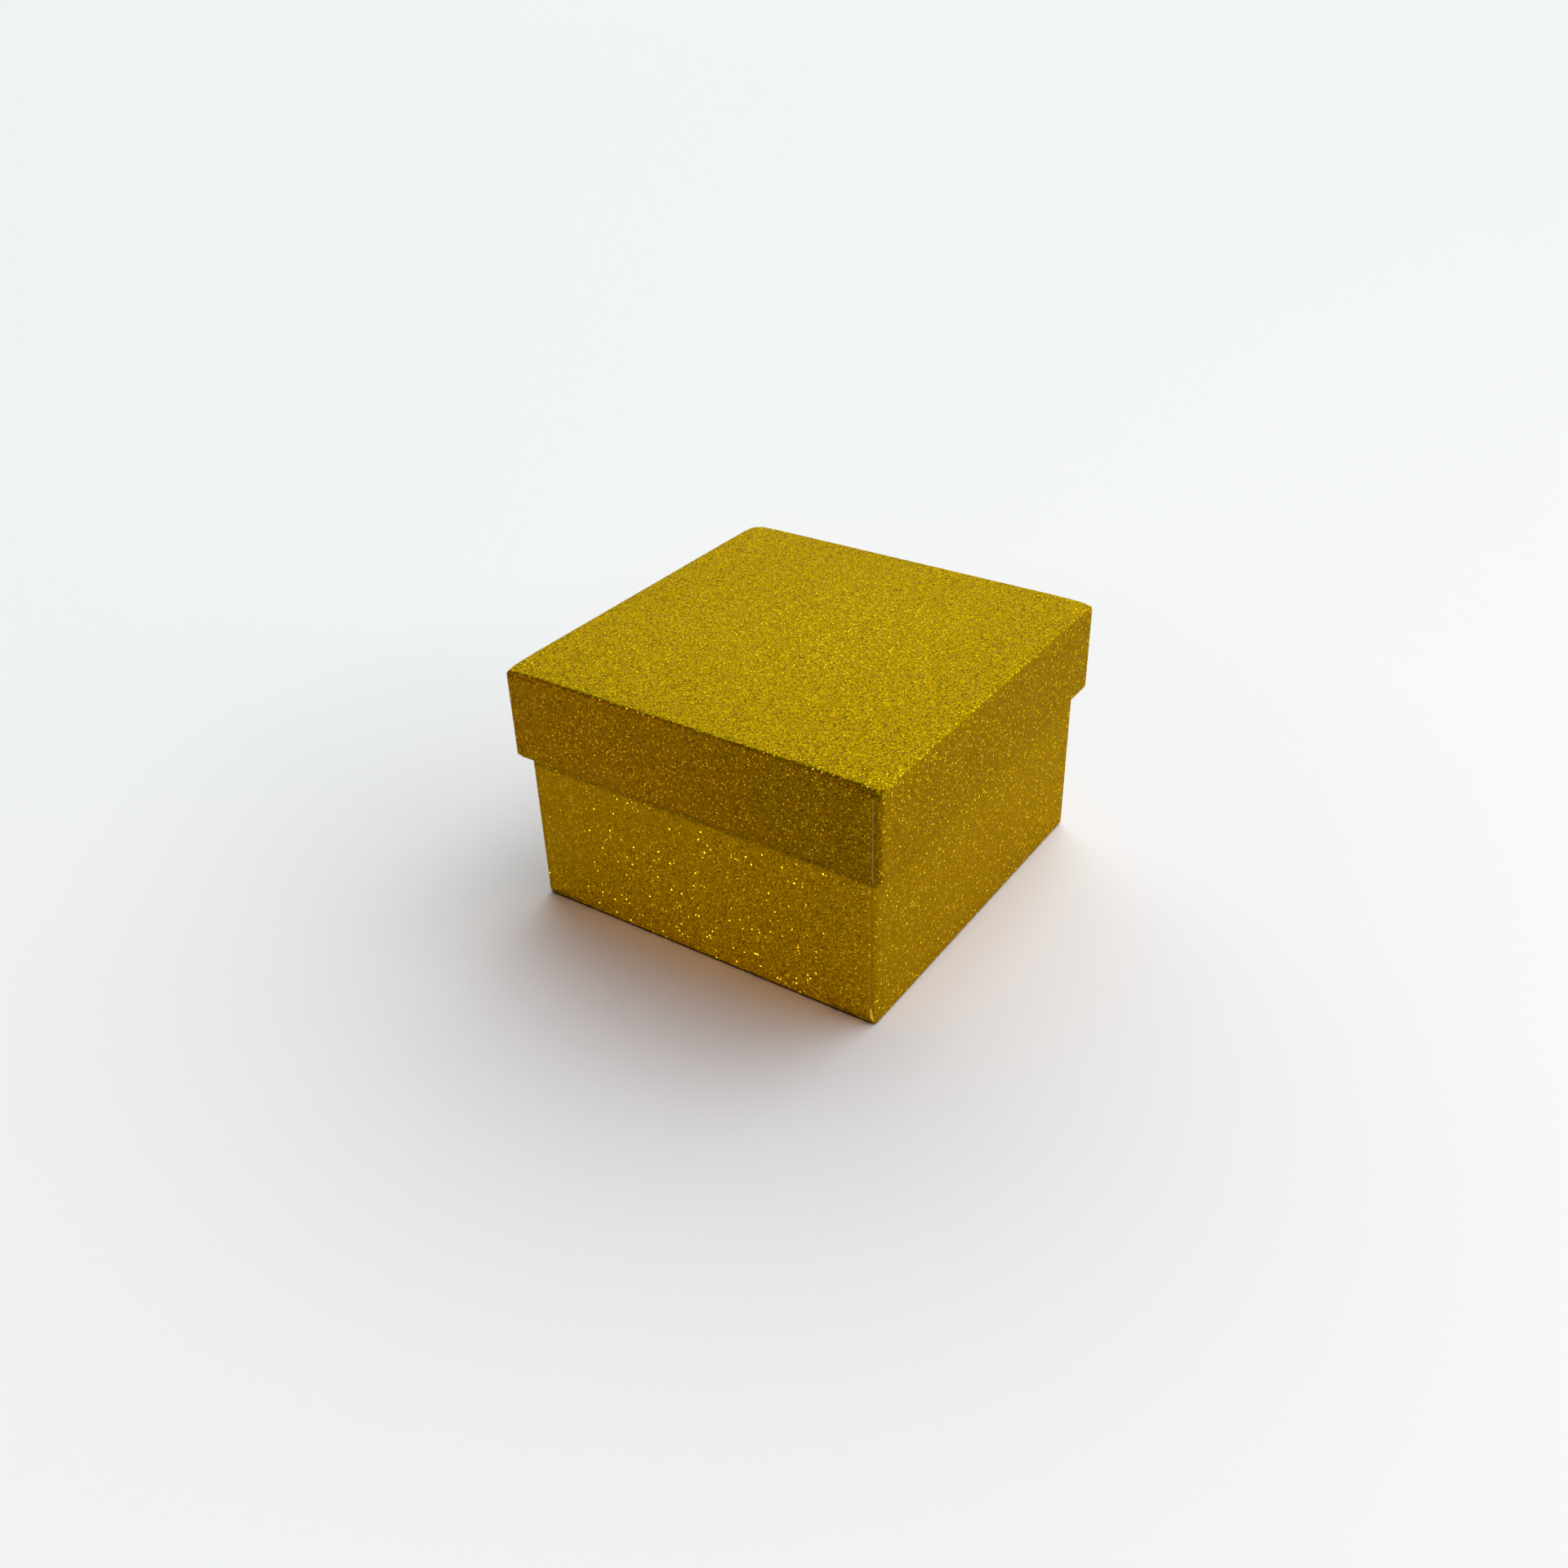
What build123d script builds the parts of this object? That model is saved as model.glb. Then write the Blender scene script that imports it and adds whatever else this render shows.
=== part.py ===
from build123d import *
from dataclasses import dataclass
import os

# Favor box: a wrapped board tray and a shallower wrapped tray turned over it as a lid.
# All sizes in mm. Z is up, the origin is the middle of the underside, +X is the right face.

# outside of the closed box
lid_length = 80.0  # along X, over the wrapped faces
lid_width = 80.0  # along Y, over the wrapped faces, without the over-flaps
box_height = 50.5  # table to the top of the lid
lid_drop = 18.4  # top of the lid to its lower rim

# sheets
board_thickness = 0.9
wrap_thickness = 0.25
lining_thickness = 0.1
stay_thickness = 0.1

# how the lid meets the base
lid_clearance = 0.2  # each side, between the base's over-flaps and the lid's turn-ins
seat_gap = 0.05  # between the base's rim and the lid's ceiling

# board folds and corners, measured on the board
fold_radius = 0.45  # where the panel folds into a wall
corner_radius = 0.5  # upright corners
rim_radius = 0.35  # cut edge of the board, crushed by the paper drawn over it
butt_gap = 0.1  # between the wall ends that meet at a corner

# corner stays, the tape that holds the walls up
stay_leg = 9.0  # each side of the corner
stay_margin = 1.5  # clear of the rim

# wrap: the flaps of two faces lie over tabs brought round from the other two
tab_length = 7.5  # tab, measured from the corner
tab_ramp = 5.0  # length in which the flap climbs onto the tab
fold_ramp = 1.2  # the same beside the fold
rim_slit = 0.15  # mitre between the turn-ins, on the rim
turn_in_trim = 2.5  # how much narrower each turn-in is at its lower end


@dataclass
class Tray:
    name: str
    frame: Plane  # on the outside of the panel, Z towards the open side
    length: float
    width: float
    height: float
    turn_in: float  # paper turned in over the rim, down the inside
    flap_trim: float  # flap's cut edge back from the corner
    flap_mitre: float  # height of the mitre that takes the cut edge to the corner


lid_wall = wrap_thickness + board_thickness + lining_thickness + wrap_thickness
lid_inset = lid_wall + lid_clearance + wrap_thickness
lid_seat = box_height - wrap_thickness - board_thickness - lining_thickness

base = Tray(
    name="base",
    frame=Plane.XY,
    length=lid_length - 2 * lid_inset,
    width=lid_width - 2 * lid_inset,
    height=lid_seat - seat_gap,
    turn_in=13.0,
    flap_trim=1.1,
    flap_mitre=2.9,
)
lid = Tray(
    name="lid",
    frame=Plane(origin=(0, 0, box_height), x_dir=(1, 0, 0), z_dir=(0, 0, -1)),
    length=lid_length,
    width=lid_width,
    height=lid_drop,
    turn_in=11.0,
    flap_trim=1.6,
    flap_mitre=1.9,
)

wrap_fold = fold_radius + wrap_thickness
wrap_corner = corner_radius + wrap_thickness
wrap_rim = rim_radius + wrap_thickness
floor_level = wrap_thickness + board_thickness
lining_level = floor_level + lining_thickness
flap_root = wrap_thickness / 4  # depth at which the second layer grows out of the first


def wall_plane(tray, across, along, distance):
    # upright plane facing out of one wall, with local X along the wall and local Y up it
    out = tray.frame.x_dir * across + tray.frame.y_dir * along
    return Plane(
        origin=tray.frame.origin + out * distance,
        x_dir=tray.frame.z_dir.cross(out),
        z_dir=out,
    )


def cross_plane(tray, x):
    # plane that cuts the tray across at x, with local X along the tray's Y
    origin = tray.frame.origin + tray.frame.x_dir * x
    return Plane(origin=origin, x_dir=tray.frame.y_dir, z_dir=tray.frame.x_dir)


def wrapped_core(tray):
    # board, lining and stays together: all that the wrap closes round
    up = Axis(tray.frame.origin, tray.frame.z_dir)
    with BuildPart() as core:
        with BuildSketch(tray.frame.offset(wrap_thickness)):
            RectangleRounded(
                tray.length - 2 * wrap_thickness,
                tray.width - 2 * wrap_thickness,
                corner_radius,
            )
        extrude(amount=tray.height - 2 * wrap_thickness)
        fillet(core.faces().sort_by(up)[0].edges(), fold_radius)
        with BuildSketch(tray.frame.offset(lining_level)):
            Rectangle(
                tray.length - 2 * lining_level,
                tray.width - 2 * lining_level,
            )
        extrude(amount=tray.height, mode=Mode.SUBTRACT)
        fillet(core.faces().sort_by(up)[-1].edges(), rim_radius)
    return core.part


def corner_stay(tray, side_x, side_y):
    # strip of tape round the outside of one upright corner, flush with the board
    edge_x = tray.length / 2 - wrap_thickness - stay_thickness / 2
    edge_y = tray.width / 2 - wrap_thickness - stay_thickness / 2
    with BuildPart() as stay:
        with BuildSketch(tray.frame.offset(wrap_thickness + fold_radius)):
            with BuildLine():
                FilletPolyline(
                    (side_x * (edge_x - stay_leg), side_y * edge_y),
                    (side_x * edge_x, side_y * edge_y),
                    (side_x * edge_x, side_y * (edge_y - stay_leg)),
                    radius=corner_radius - stay_thickness / 2,
                )
            trace(line_width=stay_thickness)
        extrude(amount=tray.height - 2 * wrap_thickness - fold_radius - stay_margin)
    return stay.part


def folded_board(tray, core, stays):
    # one scored blank: the floor and four walls, which only butt at the corners
    inside_length = tray.length - 2 * floor_level
    inside_width = tray.width - 2 * floor_level
    with BuildPart() as board:
        add(core)
        with BuildSketch(tray.frame.offset(floor_level)):
            Rectangle(inside_length, inside_width)
        extrude(amount=tray.height, mode=Mode.SUBTRACT)
        with BuildSketch(tray.frame.offset(floor_level)):
            with GridLocations(
                inside_length - butt_gap, inside_width + board_thickness, 2, 2
            ):
                Rectangle(butt_gap, 2 * board_thickness)
        extrude(amount=tray.height, mode=Mode.SUBTRACT)
        for stay in stays:
            add(stay, mode=Mode.SUBTRACT)
    return board.part


def paper_lining(tray, core):
    # sheet pasted to the inside of the board, up to its cut edge
    with BuildPart() as lining:
        with BuildSketch(tray.frame.offset(floor_level)):
            Rectangle(tray.length - 2 * floor_level, tray.width - 2 * floor_level)
        extrude(amount=tray.height)
        add(core, mode=Mode.INTERSECT)
    return lining.part


def flap_section(tray, x, rise):
    # second layer across a wall: a climb at the fold, the wall, and a taper over the rim
    face = tray.width / 2
    middle = face - wrap_thickness / 2  # middle of the sheet below
    bend = face - wrap_rim
    rim = tray.height - wrap_rim
    taper = wrap_rim - flap_root
    with BuildSketch(cross_plane(tray, x)) as section:
        with BuildLine():
            Polyline(
                (middle, rim),
                (middle, wrap_fold),
                (face - flap_root, wrap_fold),
                (face + rise, wrap_fold + fold_ramp),
                (face + rise, rim),
            )
            EllipticalCenterArc((bend, rim), wrap_rim + rise, taper, arc_size=90)
            Line((bend, rim + taper), (bend, rim + middle - bend))
            CenterArc((bend, rim), middle - bend, 0, 90)
        make_face()
    return section.sketch


def flap_end(tray):
    # end of an over-flap, where it climbs onto the tab and stops short of the corner
    corner = tray.length / 2 - wrap_corner
    tab_edge = tray.length / 2 - tab_length
    cut_edge = tray.length / 2 - tray.flap_trim
    foot = flap_section(tray, tab_edge - tab_ramp, -flap_root / 2)
    crest = flap_section(tray, tab_edge, wrap_thickness)
    with BuildPart() as flap:
        loft([foot, crest], ruled=True)
        extrude(crest, amount=corner - tab_edge)
        # cut edge with its mitre, which runs out at the corner beside the fold
        with BuildSketch(wall_plane(tray, 0, 1, tray.width / 2 - wrap_rim)):
            Polygon(
                (-corner, wrap_fold),
                (-cut_edge, wrap_fold + tray.flap_mitre),
                (-cut_edge, tray.height + wrap_rim),
                (-tray.length / 2, tray.height + wrap_rim),
                (-tray.length / 2, wrap_fold),
                align=None,
            )
        extrude(amount=2 * wrap_rim, mode=Mode.SUBTRACT)
    return flap.part


def glitter_wrap(tray, core):
    # one sheet: panel, four flaps, tabs round the corners, turn-ins over the rim
    up = Axis(tray.frame.origin, tray.frame.z_dir)
    mouth = lining_level + wrap_thickness
    inside_length = tray.length - 2 * lining_level
    inside_width = tray.width - 2 * lining_level
    turn_in_end = tray.height - tray.turn_in
    end = flap_end(tray)
    with BuildPart() as wrap:
        with BuildSketch(tray.frame):
            RectangleRounded(tray.length, tray.width, wrap_corner)
        extrude(amount=tray.height)
        fillet(wrap.faces().sort_by(up)[0].edges(), wrap_fold)
        with BuildSketch(tray.frame.offset(lining_level)):
            Rectangle(tray.length - 2 * mouth, tray.width - 2 * mouth)
        extrude(amount=tray.height, mode=Mode.SUBTRACT)
        fillet(wrap.faces().sort_by(up)[-1].edges(), wrap_rim)
        # over-flaps, alike at both ends of both faces
        across = Plane(tray.frame.origin, x_dir=tray.frame.y_dir, z_dir=tray.frame.x_dir)
        along = Plane(tray.frame.origin, x_dir=tray.frame.x_dir, z_dir=tray.frame.y_dir)
        add(end)
        add(mirror(end, about=across, mode=Mode.PRIVATE))
        add(mirror(end, about=along, mode=Mode.PRIVATE))
        both = mirror(end, about=across, mode=Mode.PRIVATE)
        add(mirror(both, about=along, mode=Mode.PRIVATE))
        # room for what it wraps, then the inside below the turn-ins
        add(core, mode=Mode.SUBTRACT)
        with BuildSketch(tray.frame.offset(lining_level)):
            Rectangle(inside_length, inside_width)
        extrude(amount=turn_in_end - lining_level, mode=Mode.SUBTRACT)
        # turn-ins narrow towards their lower ends
        walls = (
            (1, 0, inside_length, inside_width),
            (-1, 0, inside_length, inside_width),
            (0, 1, inside_width, inside_length),
            (0, -1, inside_width, inside_length),
        )
        for x, y, span, wall_length in walls:
            with BuildSketch(wall_plane(tray, x, y, span / 2 - mouth / 2)):
                for side in (1, -1):
                    Polygon(
                        (side * wall_length / 2, tray.height - wrap_rim),
                        (side * (wall_length / 2 - turn_in_trim), turn_in_end),
                        (side * wall_length / 2, turn_in_end),
                        align=None,
                    )
            extrude(amount=mouth / 2, mode=Mode.SUBTRACT)
        # mitres on the rim
        with BuildSketch(tray.frame.offset(tray.height - wrap_rim)):
            for x in (1, -1):
                for y in (1, -1):
                    with Locations((x * tray.length / 2, y * tray.width / 2)):
                        Rectangle(4 * mouth, rim_slit, rotation=45 * x * y)
        extrude(amount=wrap_rim, mode=Mode.SUBTRACT)
    return wrap.part


def save(part, name):
    part.label = name
    export_step(part, f"parts/{name}.step")


os.makedirs("parts", exist_ok=True)
corners = ((1, -1), (1, 1), (-1, 1), (-1, -1))
for tray in (base, lid):
    core = wrapped_core(tray)
    stays = [corner_stay(tray, x, y) for x, y in corners]
    save(folded_board(tray, core, stays), f"{tray.name}_board")
    for number, stay in enumerate(stays, 1):
        save(stay, f"{tray.name}_corner_stay_{number}")
    save(paper_lining(tray, core), f"{tray.name}_lining")
    save(glitter_wrap(tray, core), f"{tray.name}_wrap")
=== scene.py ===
import bpy
import bmesh
import math
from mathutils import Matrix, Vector, noise


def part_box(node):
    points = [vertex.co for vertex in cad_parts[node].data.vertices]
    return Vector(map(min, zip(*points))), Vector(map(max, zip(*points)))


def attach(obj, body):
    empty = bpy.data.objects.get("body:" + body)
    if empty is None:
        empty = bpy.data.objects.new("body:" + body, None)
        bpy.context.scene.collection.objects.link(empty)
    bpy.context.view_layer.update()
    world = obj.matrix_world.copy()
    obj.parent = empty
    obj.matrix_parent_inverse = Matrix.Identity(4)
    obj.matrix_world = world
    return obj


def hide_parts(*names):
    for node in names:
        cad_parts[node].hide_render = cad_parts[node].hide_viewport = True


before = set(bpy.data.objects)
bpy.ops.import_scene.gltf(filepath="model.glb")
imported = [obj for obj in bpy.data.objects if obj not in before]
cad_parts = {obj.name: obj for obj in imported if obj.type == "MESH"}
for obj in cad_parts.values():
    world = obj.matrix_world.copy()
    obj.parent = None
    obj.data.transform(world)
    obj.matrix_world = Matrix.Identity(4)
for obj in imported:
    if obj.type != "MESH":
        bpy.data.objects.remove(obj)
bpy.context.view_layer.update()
scene = bpy.context.scene
print("frame loaded:", ", ".join(sorted(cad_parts)))

# sizes shared by both wraps, in metres
paper = {
    "thick": 0.00025,      # glitter paper
    "wall": 0.0015,        # paper, board, lining, paper
    "bend": 0.0007,        # folds and upright corners
    "rimBend": 0.0006,     # paper over the rim
    "slit": 0.00015,       # mitre on the rim
    "trim": 0.0025,        # turn-ins narrow downwards
    "tab": 0.0075,         # tabs under the over-flaps
    "climb": 0.0050,       # flap climbing onto a tab
    "foldClimb": 0.0012,   # the same beside the fold
    "foldStart": 0.0002,   # that climb starts this far inside the fold
    "root": 0.00003,       # how deep a flap end starts in the sheet below
    "gap": 0.00002,        # air under a flap's cut edge
    "ragged": 0.00006,     # unevenness of the cut edge
    "liftReach": 0.0016,   # how far back from the cut edge a flap lifts
    "liftFold": 0.0008,    # height in which the lift grows from the fold
    "liftEven": 0.3,       # share of the lift away from the mitre
}

# mesh spacing, in metres or in steps
spacing = {
    "face": 0.0016, "rim": 0.00015, "flap": 0.0008, "flapFold": 0.0003,
    "flapAcross": 0.06,    # part of a flap end's length
    "corner": 6, "bend": 5,
}
quarter = [math.pi / 2 * k / spacing["bend"] for k in range(1, spacing["bend"] + 1)]  # round a bend

# how the paper departs from flat
swell = {
    "edge": 0.006,             # a wall's swell grows over this, from a fold or rim
    "baseTop": (0.45, 0.62),   # the base's walls straighten here, part of their height
    "wallMean": 0.7, "wallSwing": 0.8, "wallSize": 0.04,
    "panelSwing": 0.6, "panelSize": 0.03,
    "cutSize": 0.004,          # of the unevenness along a cut edge
    "seedStep": (7.1, 3.3),    # how far apart two seeds lie in the noise
}

lidWrap = {
    "node": "lid_wrap", "body": "lid", "seed": 11,
    "turnIn": 0.0110,      # paper inside the rim
    "flapTrim": 0.0016,    # cut edge back from the corner
    "flapMitre": 0.0019,   # height of the mitre beside the fold
    "lift": 0.00003,       # cut edge standing off
    "bevel": 0.00010,      # width of the cut edge
    "paleSeam": True,      # pale paper shows along the whole cut edge
    "bow": 0.00010, "panelBow": 0.00012,
    "droop": 0.00018,      # corners of the panel sink a little
    "dents": {(1, -1): 0.0009, (1, 1): 0.0004, (-1, 1): 0.0005, (-1, -1): 0.0004},
}
baseWrap = {
    "node": "base_wrap", "body": "base", "seed": 23,
    "turnIn": 0.0130, "flapTrim": 0.0011, "flapMitre": 0.0029,
    "lift": 0.00012, "bevel": 0.00020, "paleSeam": False,
    "bow": 0.00016, "panelBow": 0.0, "droop": 0.0, "dents": {},
}
wrapSlots = ["goldGlitter", "cutPaperEdge", "paperBack", "seamShade"]  # order of a wrap's materials

# handled corners; within the margin of the lid's inside nothing moves
crush = {"droopReach": 0.0050, "dentReach": 0.0013, "depth": 0.0030, "margin": 0.0002}


def smooth(a, b, v):
    t = min(max((v - a) / (b - a), 0.0), 1.0)
    return t * t * (3 - 2 * t)


def spaced(a, b, step):
    n = max(1, round(abs(b - a) / step))
    return [a + (b - a) * i / n for i in range(n + 1)]


def trayOf(values):
    # outside of one wrapped tray, measured on its CAD node
    low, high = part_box(values["node"])
    down = values["body"] == "lid"
    return {
        "hx": high.x, "hy": high.y - paper["thick"], "h": high.z - low.z,
        "down": down, "start": high.z if down else low.z,
    }


def wander(x, y, z, seed, size):
    # slow, seeded unevenness between -1 and 1
    stepX, stepY = swell["seedStep"]
    return noise.noise(Vector((x, y, z)) / size + Vector((seed * stepX, seed * stepY, 0)))


def cornerSag(values, tray, x, y, z):
    # handled corners give: how far a point at depth z under the panel sinks
    away = math.hypot(tray["hx"] - abs(x), tray["hy"] - abs(y))
    dent = values["dents"].get((1 if x > 0 else -1, 1 if y > 0 else -1), 0.0)
    sag = values["droop"] * math.exp(-(away / crush["droopReach"]) ** 2)
    sag += dent * math.exp(-(away / crush["dentReach"]) ** 2)
    return sag * (1 - smooth(0, crush["depth"], z))


def panelSag(values, tray, x, y):
    # the panel swells in the middle and sinks at its corners
    crown = (1 - (x / tray["hx"]) ** 2) * (1 - (y / tray["hy"]) ** 2)
    uneven = 1 + swell["panelSwing"] * wander(x, y, 0, values["seed"], swell["panelSize"])
    return cornerSag(values, tray, x, y, 0) - values["panelBow"] * crown * uneven


def wallBow(values, tray, x, y, z):
    # how far a wall swells outwards
    hx, hy, h = tray["hx"], tray["hy"], tray["h"]
    along = (1 - (x / hx) ** 2) if abs(y) > hy - 2 * paper["bend"] else (1 - (y / hy) ** 2)
    upright = smooth(0, swell["edge"], z)
    if tray["down"]:
        upright *= 1 - smooth(h - swell["edge"], h - paper["rimBend"], z)
    else:
        low, high = swell["baseTop"]
        upright *= 1 - smooth(h * low, h * high, z)
    uneven = swell["wallMean"] + swell["wallSwing"] * wander(x, y, z, values["seed"], swell["wallSize"])
    return values["bow"] * max(along, 0) * upright * uneven


def addPoint(bm, tray, x, y, z):
    # z is measured from the panel towards the rim
    return bm.verts.new((x, y, tray["start"] - z if tray["down"] else tray["start"] + z))


def addFace(bm, tray, corners):
    # a corner that comes twice counts once
    kept = [v for i, v in enumerate(corners) if v is not corners[i - 1]]
    if len(kept) > 2:
        bm.faces.new(kept if tray["down"] else kept[::-1])


def layPanel(bm, values, tray):
    r = paper["bend"]
    xs = spaced(-tray["hx"] + r, tray["hx"] - r, spacing["face"])
    ys = spaced(-tray["hy"] + r, tray["hy"] - r, spacing["face"])
    grid = [[addPoint(bm, tray, x, y, panelSag(values, tray, x, y)) for y in ys] for x in xs]
    for i in range(len(xs) - 1):
        for j in range(len(ys) - 1):
            addFace(bm, tray, (grid[i][j], grid[i + 1][j], grid[i + 1][j + 1], grid[i][j + 1]))
    return xs, ys, grid


def columnsRound(xs, ys, grid):
    # columns round the tray: middle of the bend, way out, point on the panel
    # spans: which way a side faces, its first and last column
    columns, spans = [], []
    nx, ny = len(xs) - 1, len(ys) - 1
    sides = [
        ((1, 0), [(nx, j) for j in range(ny + 1)]),
        ((0, 1), [(i, ny) for i in range(nx, -1, -1)]),
        ((-1, 0), [(0, j) for j in range(ny, -1, -1)]),
        ((0, -1), [(i, 0) for i in range(nx + 1)]),
    ]
    for (dx, dy), places in sides:
        first = len(columns)
        for i, j in places:
            columns.append((xs[i], ys[j], dx, dy, grid[i][j]))
        spans.append((dx, dy, first, len(columns) - 1))
        turn = math.atan2(dy, dx)
        i, j = places[-1]
        for k in range(1, spacing["corner"]):
            a = turn + math.pi / 2 * k / spacing["corner"]
            columns.append((xs[i], ys[j], math.cos(a), math.sin(a), grid[i][j]))
    return columns, spans


def layWalls(bm, values, tray, columns):
    # from the fold to the top of the rim; rows: way out from the bend, height
    h, r, rr = tray["h"], paper["bend"], paper["rimBend"]
    rows = [(r * math.sin(a), r - r * math.cos(a)) for a in quarter]
    rows += [(r, z) for z in spaced(r, h - rr, spacing["face"])[1:]]
    rows += [(r - rr + rr * math.cos(a), h - rr + rr * math.sin(a)) for a in quarter]
    rings = [[point for *_, point in columns]]
    for out, z in rows:
        line = []
        for cx, cy, dx, dy, _ in columns:
            x, y = cx + dx * out, cy + dy * out
            push = wallBow(values, tray, x, y, z)
            drop = cornerSag(values, tray, x, y, z)
            line.append(addPoint(bm, tray, x + dx * push, y + dy * push, z + drop))
        rings.append(line)
    count = len(columns)
    for low, high in zip(rings, rings[1:]):
        for j in range(count):
            k = (j + 1) % count
            addFace(bm, tray, (low[j], high[j], high[k], low[k]))
    return rings[-1]


def layTurnIns(bm, values, tray, spans, rim):
    # each side goes on over the rim and down the inside; rows: way in, height, narrowing
    hx, hy, h = tray["hx"], tray["hy"], tray["h"]
    rr, wall, slit = paper["rimBend"], paper["wall"], paper["slit"] / 2
    end = h - values["turnIn"]
    rows = [(w, h, 0) for w in spaced(rr, wall - rr, spacing["rim"])[1:]]
    rows += [(wall - rr + rr * math.sin(a), h - rr + rr * math.cos(a), 0) for a in quarter]
    for z in spaced(h - rr, end, spacing["face"])[1:]:
        rows.append((wall, z, paper["trim"] * (h - rr - z) / (h - rr - end)))
    halfCorner = spacing["corner"] // 2
    for dx, dy, first, last in spans:
        across, half = (hx, hy) if dx else (hy, hx)
        previous = [rim[j % len(rim)] for j in range(first - halfCorner, last + halfCorner + 1)]
        places = [-v.co.x * dy + v.co.y * dx for v in previous]
        widest = max(places)
        for w, z, trim in rows:
            reach = half - w - slit - trim
            line = []
            for p in places:
                t = p * reach / widest
                x = dx * (across - w) - dy * t
                y = dy * (across - w) + dx * t
                line.append(addPoint(bm, tray, x, y, z))
            for corners in zip(previous, line, line[1:], previous[1:]):
                addFace(bm, tray, corners)
            previous = line


def layFlapEnd(bm, values, tray, sx, sy):
    # one end of an over-flap, lying on its tab; rows: turn over the rim, height
    hx, hy, h = tray["hx"], tray["hy"], tray["h"]
    r, rr, root = paper["bend"], paper["rimBend"], paper["root"]
    full = paper["thick"] + paper["gap"]
    even = paper["liftEven"]
    foldEnd = r + paper["foldClimb"]
    foot = hx - paper["tab"] - paper["climb"]
    rows = [(0.0, z) for z in spaced(r, foldEnd, spacing["flapFold"])]
    rows += [(0.0, z) for z in spaced(foldEnd, h - rr, spacing["flap"])[1:]]
    rows += [(a, h - rr) for a in quarter]
    cutFaces = []
    previous = None
    for a, z in rows:
        mitre = max(1 - (z - r) / values["flapMitre"], 0)
        stop = hx - values["flapTrim"] + (values["flapTrim"] - r) * mitre
        stop += paper["ragged"] * wander(sx, sy, z, values["seed"], swell["cutSize"])
        foldRise = smooth(r - paper["foldStart"], foldEnd, z)
        mitreLift = even + (1 - even) * mitre
        foldLift = smooth(r, r + paper["liftFold"], z)
        line = []
        for q in spaced(0, 1, spacing["flapAcross"]):
            x = foot + (stop - foot) * q
            rise = smooth(foot, foot + paper["climb"], x) * foldRise
            rise = -root + (full + root) * rise
            edgeLift = smooth(stop - paper["liftReach"], stop, x)
            rise += values["lift"] * edgeLift * mitreLift * foldLift
            y = hy - rr + (rr + rise) * math.cos(a) + wallBow(values, tray, x, sy * hy, z)
            drop = cornerSag(values, tray, sx * x, sy * hy, z)
            line.append(addPoint(bm, tray, sx * x, sy * y, z + drop + (rr - root) * math.sin(a)))
        # bevelled cut edge, down to the tab
        y = hy - rr + (rr - root) * math.cos(a) + wallBow(values, tray, x, sy * hy, z)
        x = stop + values["bevel"]
        line.append(addPoint(bm, tray, sx * x, sy * y, z + drop + (rr - root) * math.sin(a)))
        if previous:
            for corners in zip(previous, line, line[1:], previous[1:]):
                addFace(bm, tray, corners if sx * sy < 0 else corners[::-1])
            # away from the mitre the base's cut edge gets painted shade instead of pale paper
            pale = mitre or values["paleSeam"]
            cutFaces.append((len(bm.faces) - 1, "cutPaperEdge" if pale else "seamShade"))
        previous = line
    return cutFaces


def makeWrap(name, values):
    tray = trayOf(values)
    bm = bmesh.new()
    xs, ys, grid = layPanel(bm, values, tray)
    columns, spans = columnsRound(xs, ys, grid)
    rim = layWalls(bm, values, tray, columns)
    layTurnIns(bm, values, tray, spans, rim)
    cutFaces = []
    for sy in (1, -1):
        for sx in (1, -1):
            cutFaces += layFlapEnd(bm, values, tray, sx, sy)
    mesh = bpy.data.meshes.new(name)
    bm.to_mesh(mesh)
    bm.free()
    piece = bpy.data.objects.new(name, mesh)
    scene.collection.objects.link(piece)
    for f in mesh.polygons:
        f.use_smooth = True
    for i, slot in cutFaces:
        mesh.polygons[i].material_index = wrapSlots.index(slot)
        mesh.polygons[i].use_smooth = False
    sheet = piece.modifiers.new("sheet", "SOLIDIFY")
    sheet.thickness = paper["thick"]
    sheet.offset = -1
    sheet.use_even_offset = True
    sheet.material_offset_rim = wrapSlots.index("cutPaperEdge")
    sheet.material_offset = wrapSlots.index("paperBack")
    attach(piece, values["body"])
    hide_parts(values["node"])
    print(name, "folded:", len(mesh.polygons), "faces")
    return piece


lidSheet = makeWrap("lidWrapSheet", lidWrap)
baseSheet = makeWrap("baseWrapSheet", baseWrap)


def crushedCopy(name, nodeName):
    # what lies under the lid's wrap gives way with it, apart from its inside
    tray = trayOf(lidWrap)
    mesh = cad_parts[nodeName].data.copy()
    mesh.name = name
    inside = paper["wall"] - paper["thick"] - crush["margin"]
    for v in mesh.vertices:
        x, y, depth = v.co.x, v.co.y, tray["start"] - v.co.z
        if min(depth, tray["hx"] - abs(x), tray["hy"] - abs(y)) < inside:
            v.co.z -= cornerSag(lidWrap, tray, x, y, depth)
    piece = bpy.data.objects.new(name, mesh)
    scene.collection.objects.link(piece)
    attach(piece, "lid")
    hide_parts(nodeName)
    return piece


lidInner = [crushedCopy("lidBoardFolded", "lid_board")]
for n in range(1, 5):
    lidInner.append(crushedCopy(f"lidCornerTape{n}", f"lid_corner_stay_{n}"))
print("lid's board and tape crushed at the corners")


# materials

def newMaterial(name):
    mat = bpy.data.materials.new(name)
    mat.use_nodes = True
    nodes, links = mat.node_tree.nodes, mat.node_tree.links
    return mat, nodes, links, nodes["Principled BSDF"]


def vectorMath(nodes, links, kind, a, b):
    n = nodes.new("ShaderNodeVectorMath")
    n.operation = kind
    for socket, value in zip(n.inputs, (a, b)):
        if isinstance(value, bpy.types.NodeSocket):
            links.new(value, socket)
        else:
            socket.default_value = value
    return n.outputs[0]


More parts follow.
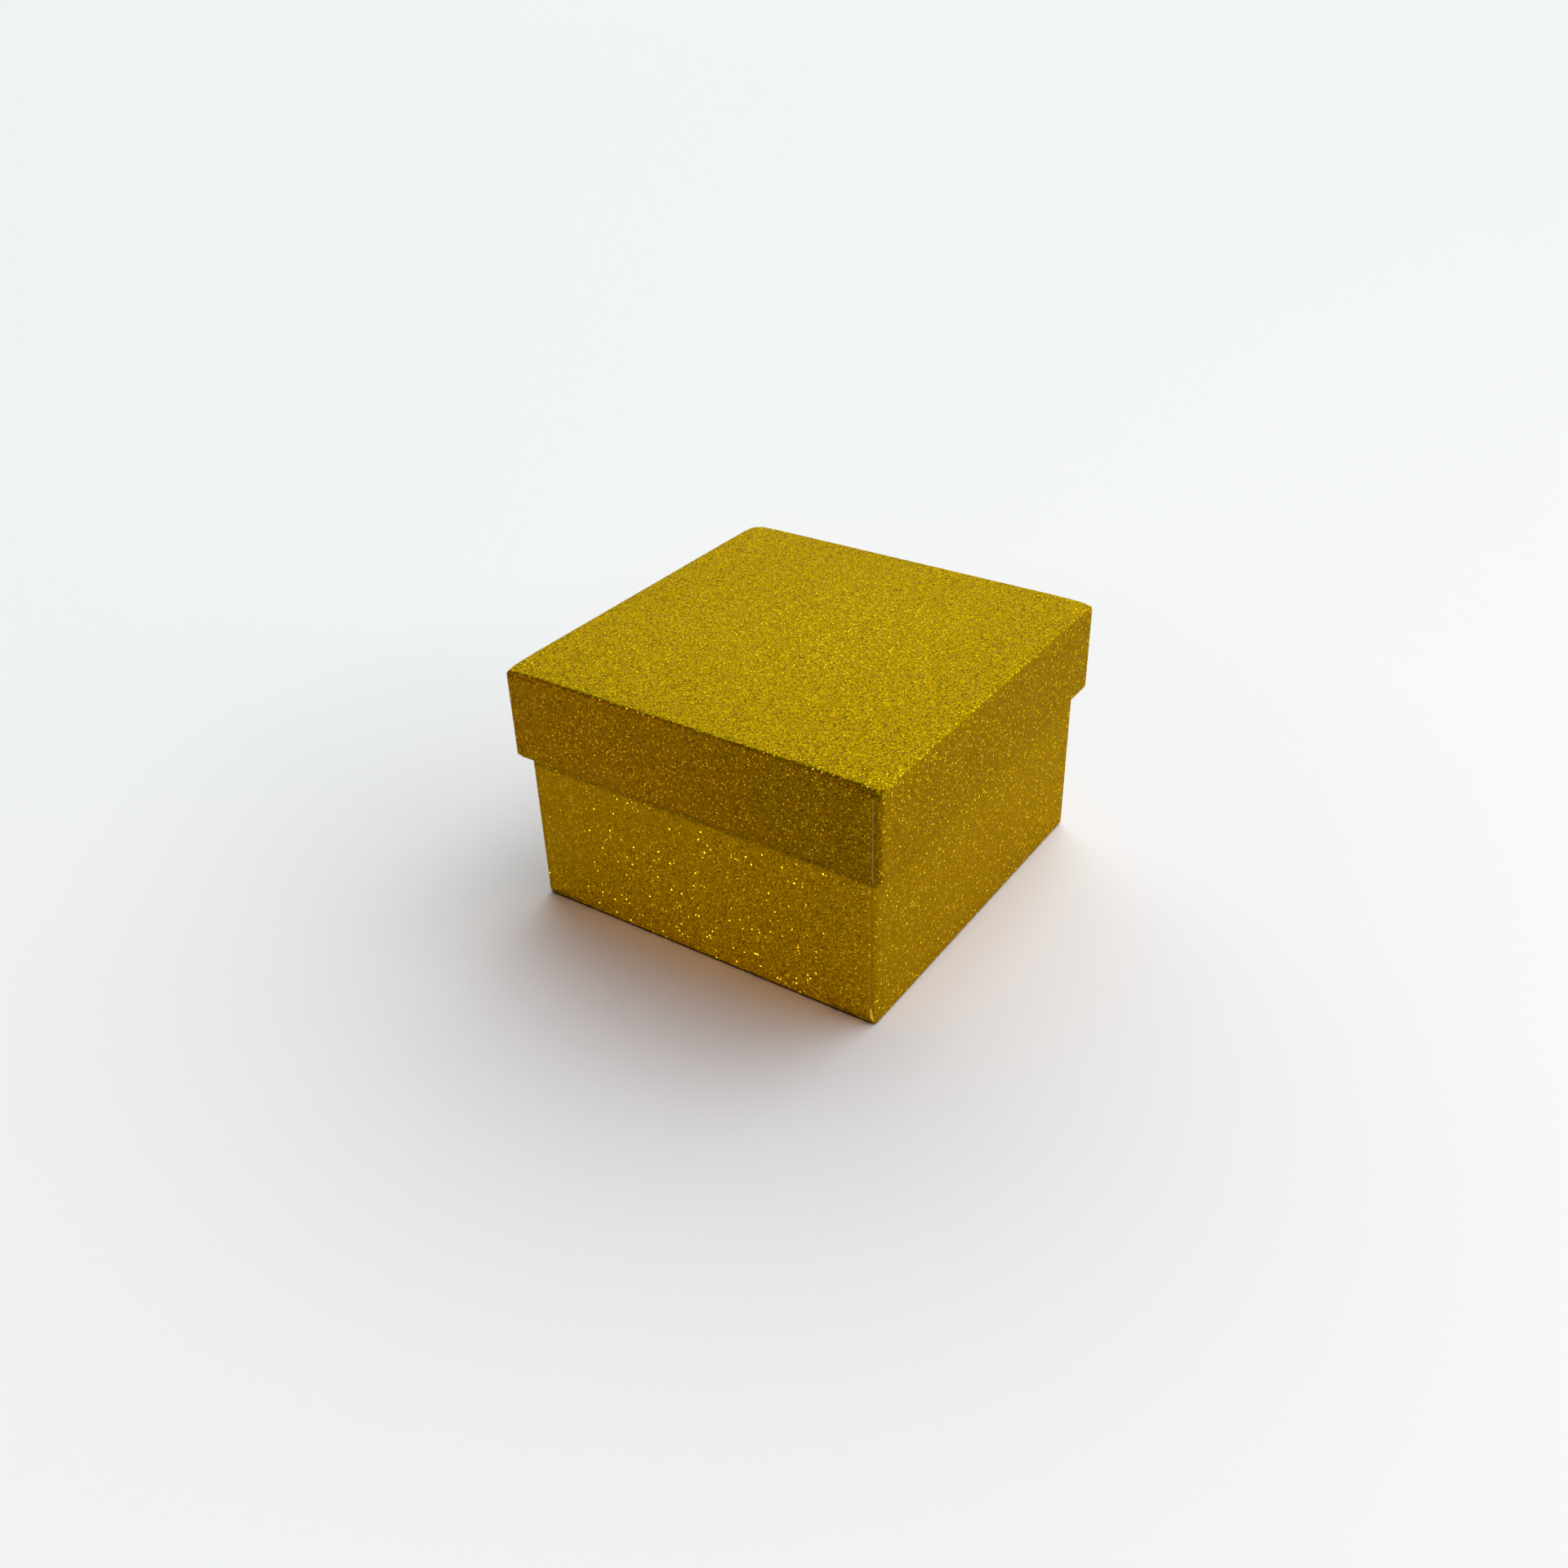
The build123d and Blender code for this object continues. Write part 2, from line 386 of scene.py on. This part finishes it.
def join(nodes, links, kind, a, b):
    n = nodes.new("ShaderNodeMath")
    n.operation = kind
    links.new(a, n.inputs[0])
    links.new(b, n.inputs[1])
    return n.outputs[0]


def ramp(nodes, links, value, stops):
    n = nodes.new("ShaderNodeValToRGB")
    links.new(value, n.inputs[0])
    bar = n.color_ramp.elements
    while len(bar) < len(stops):
        bar.new(0.5)  # put in its place below
    for e, (place, colour) in zip(bar, stops):
        e.position = place
        e.color = (*colour, 1)
    return n.outputs[0]


def cells(nodes, links, place, size):
    n = nodes.new("ShaderNodeTexVoronoi")
    n.inputs["Scale"].default_value = 1 / size
    links.new(place, n.inputs["Vector"])
    pick = nodes.new("ShaderNodeSeparateColor")
    links.new(n.outputs["Color"], pick.inputs[0])
    return n.outputs["Color"], n.outputs["Distance"], pick.outputs


def blend(nodes, links, kind, factor, a, b):
    n = nodes.new("ShaderNodeMix")
    n.data_type = kind
    slots = {"RGBA": (6, 7, 2), "VECTOR": (4, 5, 1), "FLOAT": (2, 3, 0)}[kind]  # both inputs, the output
    links.new(factor, n.inputs[0])
    for slot, value in zip(slots, (a, b)):
        if isinstance(value, bpy.types.NodeSocket):
            links.new(value, n.inputs[slot])
        else:
            n.inputs[slot].default_value = value
    return n.outputs[slots[2]]


black, grey, white = (0, 0, 0), (0.5, 0.5, 0.5), (1, 1, 1)
glitter = {
    "grain": 0.00029,            # spacing of the fine flakes
    "grainEdge": (0.50, 0.62),   # a flake fades out here, part of that spacing
    "speck": 0.00060,            # spacing of the larger flakes
    "speckSize": 0.27,           # part of that spacing
    "speckFade": (0.02, 0.04),   # inside and outside that size
    "speckPick": (0.38, 0.40),   # cells below this have no larger flake
    "groundStops": (0.2, 0.8), "flakeStops": (0.0, 0.4, 0.8, 1.0),
    "grainTilt": 0.60, "speckTilt": 1.9,
    "groundRough": 0.80, "grainRough": 0.42, "speckRough": 0.39,
    "ground": (0.265, 0.132, 0.0002), "groundDark": (0.205, 0.100, 0.0001),
    "dark": (0.235, 0.119, 0.0002), "mid": (0.330, 0.175, 0.0004), "light": (0.450, 0.254, 0.003),
    "spark": (0.72, 0.467, 0.025),
    "gloss": 0.05, "glossTint": (1.0, 0.75, 0.05),
}


def glitterPaper():
    mat, nodes, links, shader = newMaterial("goldGlitter")
    place = nodes.new("ShaderNodeTexCoord").outputs["Object"]
    grainColour, grainOut, grainPick = cells(nodes, links, place, glitter["grain"])
    speckColour, speckOut, speckPick = cells(nodes, links, place, glitter["speck"])
    # larger flakes: a disc in six cells out of ten
    inside, outside = glitter["speckFade"]
    disc = ramp(nodes, links, speckOut, [
        (glitter["speckSize"] - inside, white), (glitter["speckSize"] + outside, black),
    ])
    chosen = ramp(nodes, links, speckPick[2], list(zip(glitter["speckPick"], (black, white))))
    speck = join(nodes, links, "MULTIPLY", disc, chosen)
    # fine flakes on brown ground
    flake = ramp(nodes, links, grainOut, list(zip(glitter["grainEdge"], (white, black))))
    groundShades = [glitter[k] for k in ("groundDark", "ground")]
    ground = ramp(nodes, links, grainPick[1], list(zip(glitter["groundStops"], groundShades)))
    flakeShades = [glitter[k] for k in ("dark", "mid", "mid", "light")]
    colour = ramp(nodes, links, grainPick[0], list(zip(glitter["flakeStops"], flakeShades)))
    colour = blend(nodes, links, "RGBA", flake, ground, colour)
    colour = blend(nodes, links, "RGBA", speck, colour, (*glitter["spark"], 1))
    links.new(colour, shader.inputs["Base Color"])
    links.new(join(nodes, links, "MAXIMUM", flake, speck), shader.inputs["Metallic"])
    # each flake leans its own way
    facing = nodes.new("ShaderNodeNewGeometry").outputs["Normal"]
    leans = []
    for random, tilt in ((grainColour, glitter["grainTilt"]), (speckColour, glitter["speckTilt"])):
        lean = vectorMath(nodes, links, "SUBTRACT", random, grey)
        leans.append(vectorMath(nodes, links, "MULTIPLY", lean, (tilt,) * 3))
    lean = blend(nodes, links, "VECTOR", speck, *leans)
    lean = vectorMath(nodes, links, "ADD", facing, lean)
    n = nodes.new("ShaderNodeVectorMath")
    n.operation = "NORMALIZE"
    links.new(lean, n.inputs[0])
    links.new(n.outputs[0], shader.inputs["Normal"])
    rough = blend(nodes, links, "FLOAT", flake, glitter["groundRough"], glitter["grainRough"])
    rough = blend(nodes, links, "FLOAT", speck, rough, glitter["speckRough"])
    links.new(rough, shader.inputs["Roughness"])
    shader.inputs["Specular IOR Level"].default_value = glitter["gloss"]
    shader.inputs["Specular Tint"].default_value = (*glitter["glossTint"], 1)
    return mat


# papers without glitter: two shades and the size of the fibres
papers = {
    "cutPaperEdge": {"light": (0.46, 0.30, 0.07), "dark": (0.36, 0.22, 0.045), "fibre": 0.0004},
    # seamShade is painted shade: the dark line a lifted flap edge throws along the base's seam
    "seamShade": {"light": (0.19, 0.10, 0.004), "dark": (0.14, 0.07, 0.002), "fibre": 0.0004},
    "paperBack": {"light": (0.75, 0.72, 0.66), "dark": (0.66, 0.63, 0.57), "fibre": 0.0008},
    "liningPaper": {"light": (0.84, 0.82, 0.77), "dark": (0.76, 0.74, 0.68), "fibre": 0.0012},
    "greyboard": {"light": (0.40, 0.38, 0.34), "dark": (0.26, 0.245, 0.22), "fibre": 0.0009},
    "kraftTape": {"light": (0.52, 0.38, 0.23), "dark": (0.40, 0.28, 0.16), "fibre": 0.0009},
}
plain = {
    "detail": 6, "stops": (0.3, 0.7), "rough": 0.85, "gloss": 0.03,
    "relief": 0.00003, "reliefShare": 0.5,  # height of the fibres, and how much of it shows
}


def plainPaper(name, values):
    mat, nodes, links, shader = newMaterial(name)
    place = nodes.new("ShaderNodeTexCoord").outputs["Object"]
    fibre = nodes.new("ShaderNodeTexNoise")
    fibre.inputs["Scale"].default_value = 1 / values["fibre"]
    fibre.inputs["Detail"].default_value = plain["detail"]
    links.new(place, fibre.inputs["Vector"])
    shades = (values["dark"], values["light"])
    colour = ramp(nodes, links, fibre.outputs[0], list(zip(plain["stops"], shades)))
    links.new(colour, shader.inputs["Base Color"])
    shader.inputs["Roughness"].default_value = plain["rough"]
    shader.inputs["Specular IOR Level"].default_value = plain["gloss"]
    bump = nodes.new("ShaderNodeBump")
    bump.inputs["Distance"].default_value = plain["relief"]
    bump.inputs["Strength"].default_value = plain["reliefShare"]
    links.new(fibre.outputs[0], bump.inputs["Height"])
    links.new(bump.outputs[0], shader.inputs["Normal"])
    return mat


finishes = {"goldGlitter": glitterPaper()}
for name, values in papers.items():
    finishes[name] = plainPaper(name, values)


def finishOf(name):
    # what a piece is made of, told from its name
    for word, finish in (("wrap", "goldGlitter"), ("lining", "liningPaper"), ("board", "greyboard")):
        if word in name.lower():
            return finishes[finish]
    return finishes["kraftTape"]


for sheet in (lidSheet, baseSheet):
    for slot in wrapSlots:
        sheet.data.materials.append(finishes[slot])
for piece in (*lidInner, *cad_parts.values()):
    piece.data.materials.clear()
    piece.data.materials.append(finishOf(piece.name))
print("materials set")


# floor, light and camera

stage = {
    "size": 6.0, "level": -0.00005, "rough": 0.9,
    # the floor is darker close to the box: painted shade round its foot
    "near": (0.86, 0.70, 0.94), "far": (0.92, 0.75, 0.99),  # make up for the tinted light
    "nearEdge": 0.06, "farEdge": 0.16,
}


def makeFloor():
    bm = bmesh.new()
    bmesh.ops.create_grid(bm, x_segments=1, y_segments=1, size=stage["size"] / 2)
    mesh = bpy.data.meshes.new("floor")
    bm.to_mesh(mesh)
    bm.free()
    floor = bpy.data.objects.new("floor", mesh)
    floor.location.z = stage["level"]
    scene.collection.objects.link(floor)
    mat, nodes, links, shader = newMaterial("paleFloor")
    place = nodes.new("ShaderNodeTexCoord").outputs["Object"]
    away = nodes.new("ShaderNodeVectorMath")
    away.operation = "LENGTH"
    links.new(place, away.inputs[0])
    shade = ramp(nodes, links, away.outputs["Value"], [
        (stage["nearEdge"], stage["near"]), (stage["farEdge"], stage["far"]),
    ])
    links.new(shade, shader.inputs["Base Color"])
    shader.inputs["Roughness"].default_value = stage["rough"]
    mesh.materials.append(mat)


# some lamps are kept to the lid or to the base
lidOnly = bpy.data.collections.new("lidOnly")
baseOnly = bpy.data.collections.new("baseOnly")
for piece in (lidSheet, baseSheet, *lidInner, *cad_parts.values()):
    only = lidOnly if piece.name.startswith("lid") else baseOnly
    if "lining" not in piece.name:
        only.objects.link(piece)

lamps = {
    "softboxRight": {
        "kind": "AREA", "place": (0.80, 0.05, 0.30), "aim": (0, 0, 0.03), "size": (0.35, 0.35),
        "power": 1.50, "colour": (0.95, 1, 0.76),
    },
    "softTop": {
        "kind": "SUN", "place": (0.15, 0.15, 0.90), "aim": (0, 0, 0), "angle": 50,
        "power": 1.08, "colour": (0.85, 1, 0.78),
    },
    "leftLid": {
        "kind": "AREA", "place": (-0.26, -0.26, 0.10), "aim": (-0.03, -0.04, 0.04), "size": (0.14, 0.14),
        "power": 0.12, "colour": (1, 0.45, 0.18), "only": lidOnly,
    },
    "lowLid": {
        "kind": "SPOT", "place": (-0.14, -0.50, 0.22), "aim": (-0.014, -0.040, 0.008), "angle": 11,
        "bulb": 0.012, "power": 2.5, "colour": (1, 0.50, 0.18), "only": lidOnly,
    },
    "stripBase": {
        "kind": "AREA", "place": (-0.04, -0.92, 1.25), "aim": (-0.04, -0.038, 0.03), "size": (0.8, 0.20),
        "power": 16.5, "colour": (1, 0.84, 0.32), "only": baseOnly,
    },
    "lowBase": {
        "kind": "SPOT", "place": (-0.10, -0.50, 0.25), "aim": (0.006, -0.038, -0.022), "angle": 11,
        "bulb": 0.012, "power": 5.0, "colour": (1, 0.86, 0.32), "only": baseOnly,
    },
    "stripBaseRight": {
        "kind": "AREA", "place": (0.80, -0.92, 1.25), "aim": (0.80, -0.038, 0.03), "size": (0.8, 0.20),
        "power": 28.0, "colour": (0.82, 1, 0.48), "only": baseOnly,
    },
}


def addLamp(name, lamp):
    data = bpy.data.lights.new(name, lamp["kind"])
    if lamp["kind"] == "AREA":
        data.shape = "RECTANGLE"
        data.size, data.size_y = lamp["size"]
    elif lamp["kind"] == "SUN":
        data.angle = math.radians(lamp["angle"])
    else:
        data.spot_size = math.radians(lamp["angle"])
        data.spot_blend = 1.0  # fades all the way to its edge
        data.shadow_soft_size = lamp["bulb"]
    data.energy = lamp["power"]
    data.color = lamp["colour"]
    piece = bpy.data.objects.new(name, data)
    piece.location = lamp["place"]
    way = Vector(lamp["aim"]) - Vector(lamp["place"])
    piece.rotation_euler = way.to_track_quat("-Z", "Y").to_euler()
    scene.collection.objects.link(piece)
    piece.light_linking.receiver_collection = lamp.get("only")


sky = {
    "strength": 2.0, "front": 0.0, "back": 0.6,
    "colour": (1, 1.28, 0.98), "backdrop": (0.43, 0.43, 0.43),
}


def makeSky():
    # dark in front, bright behind the box; the backdrop itself is seen plain
    world = bpy.data.worlds.new("studio")
    world.use_nodes = True
    nodes, links = world.node_tree.nodes, world.node_tree.links
    place = nodes.new("ShaderNodeTexCoord").outputs["Generated"]
    axes = nodes.new("ShaderNodeSeparateXYZ")
    links.new(place, axes.inputs[0])
    shade = ramp(nodes, links, axes.outputs[1], [(sky["front"], black), (sky["back"], sky["colour"])])
    seen = nodes.new("ShaderNodeLightPath").outputs["Is Camera Ray"]
    shade = blend(nodes, links, "RGBA", seen, shade, (*sky["backdrop"], 1))
    links.new(shade, nodes["Background"].inputs["Color"])
    nodes["Background"].inputs["Strength"].default_value = sky["strength"]
    scene.world = world


view = {
    "eye": (0.13968, -0.20992, 0.17520),
    "azimuth": 34.86, "elevation": 32.01, "roll": -1.78,
    "lens": 34.2, "sensor": 36.0, "nearest": 0.01,
}


def makeCamera():
    az, el, roll = (math.radians(view[k]) for k in ("azimuth", "elevation", "roll"))
    back = Vector((math.sin(az) * math.cos(el), -math.cos(az) * math.cos(el), math.sin(el)))
    right = Vector((0, 0, 1)).cross(back).normalized()
    up = back.cross(right)
    turnedRight = right * math.cos(roll) + up * math.sin(roll)
    turnedUp = up * math.cos(roll) - right * math.sin(roll)
    data = bpy.data.cameras.new("camera")
    data.lens = view["lens"]
    data.sensor_width = view["sensor"]
    data.clip_start = view["nearest"]
    camera = bpy.data.objects.new("camera", data)
    matrix = camera.matrix_world.to_3x3()
    for column, axis in enumerate((turnedRight, turnedUp, back)):
        matrix.col[column] = axis
    camera.matrix_world = matrix.to_4x4()
    camera.location = view["eye"]
    scene.collection.objects.link(camera)
    scene.camera = camera


makeFloor()
for name, lamp in lamps.items():
    addLamp(name, lamp)
makeSky()
scene.view_settings.view_transform = "Standard"
makeCamera()
print("floor, lamps and camera set")
